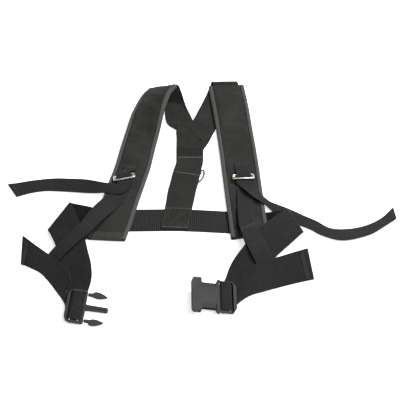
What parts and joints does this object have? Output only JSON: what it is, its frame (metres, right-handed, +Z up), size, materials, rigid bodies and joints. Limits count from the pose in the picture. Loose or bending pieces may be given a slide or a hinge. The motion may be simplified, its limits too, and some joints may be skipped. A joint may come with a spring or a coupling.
{
  "type": "padded shoulder and waist harness",
  "caption": "Padded shoulder harness laid flat, with a V of rear straps, metal strap slides and an open side-release waist belt",
  "frame": {"origin": "under the middle of the back belt, on the surface that the harness lies on", "axes": "+X along the belt towards the female buckle, +Y towards the shoulder end, +Z up and out of the pads' faces"},
  "size_m": [0.6951, 0.5622, 0.0521],
  "materials": {
    "belt_webbing": "woven, matt black",
    "back_webbing": "coarse ribbed weave, matt black",
    "narrow_webbing": "woven, matt black",
    "pad_cloth": "plain nylon cloth, matt black",
    "binding_tape": "grey binding tape, slight sheen",
    "foam": "closed-cell foam, hidden",
    "buckle_plastic": "moulded, dark grey, satin",
    "plated_steel": "bright plated steel",
    "ring_steel": "dull grey steel wire",
    "brass_bar": "worn brass plating"
  },
  "bodies": {
    "harness": {"back_belt": "back_webbing", "back_strap": "back_webbing", "left_adjuster_strap": "narrow_webbing", "left_pad_binding_east": "binding_tape", "left_pad_binding_west": "binding_tape", "left_pad_face": "pad_cloth", "left_pad_foam": "foam", "left_pad_hem": "pad_cloth", "left_pad_lining": "pad_cloth", "left_rear_strap": "back_webbing", "left_slide_keeper": "narrow_webbing", "right_adjuster_strap": "narrow_webbing", "right_pad_binding_east": "binding_tape", "right_pad_binding_west": "binding_tape", "right_pad_face": "pad_cloth", "right_pad_foam": "foam", "right_pad_hem": "pad_cloth", "right_pad_lining": "pad_cloth", "right_rear_strap": "back_webbing", "right_slide_keeper": "narrow_webbing", "side_belt_left": "belt_webbing", "side_belt_right": "belt_webbing", "yoke_panel": "back_webbing"},
    "left_slide": {"left_slide_frame": "plated_steel"},
    "left_bar": {"left_slide_bar": "brass_bar"},
    "right_slide": {"right_slide_frame": "plated_steel"},
    "right_bar": {"right_slide_bar": "brass_bar"},
    "ring": {"d_ring": "ring_steel"},
    "male_half": {"buckle_male_frame": "buckle_plastic"},
    "prong_north": {"buckle_prong_north": "buckle_plastic"},
    "prong_south": {"buckle_prong_south": "buckle_plastic"},
    "female_half": {"buckle_female": "buckle_plastic"}
  },
  "joints": [
    {"name": "left_slide_tilt", "type": "hinge", "parent": "harness", "child": "left_slide", "pos_m": [-0.09805, 0.09063, 0.01652], "axis": [0.9792, 0.1903, 0.0698], "range_deg": [-0.8, 0.8]},
    {"name": "left_bar_grip", "type": "slide", "parent": "left_slide", "child": "left_bar", "axis": [-0.1465, 0.9022, -0.4057], "range_m": [-0.0002, 0.0003]},
    {"name": "right_slide_tilt", "type": "hinge", "parent": "harness", "child": "right_slide", "pos_m": [0.11783, 0.09327, 0.01431], "axis": [0.9986, 0.0523, 0], "range_deg": [-0.8, 0.8]},
    {"name": "right_bar_grip", "type": "slide", "parent": "right_slide", "child": "right_bar", "axis": [-0.0478, 0.9123, -0.4067], "range_m": [-0.0002, 0.0003]},
    {"name": "ring_swing", "type": "hinge", "parent": "harness", "child": "ring", "pos_m": [0.02, 0.112, 0.0043], "axis": [1, 0, 0], "range_deg": [0, 150]},
    {"name": "male_swivel", "type": "hinge", "parent": "harness", "child": "male_half", "pos_m": [-0.165, -0.1865, 0.011], "axis": [0.0872, 0.9962, 0], "range_deg": [-4, 4]},
    {"name": "prong_north_flex", "type": "hinge", "parent": "male_half", "child": "prong_north", "pos_m": [-0.14561, -0.1626, 0.00858], "axis": [0.1386, -0.0121, 0.9903], "range_deg": [-9, 1], "stiffness_Nm_per_rad": 1.5},
    {"name": "prong_south_flex", "type": "hinge", "parent": "male_half", "child": "prong_south", "pos_m": [-0.15006, -0.21341, 0.00858], "axis": [0.1386, -0.0121, 0.9903], "range_deg": [-1, 9], "stiffness_Nm_per_rad": 1.5},
    {"name": "female_swivel", "type": "hinge", "parent": "harness", "child": "female_half", "pos_m": [0.083, -0.1705, 0.0126], "axis": [-0.0175, 0.9998, 0], "range_deg": [-3, 0.5]}
  ]
}
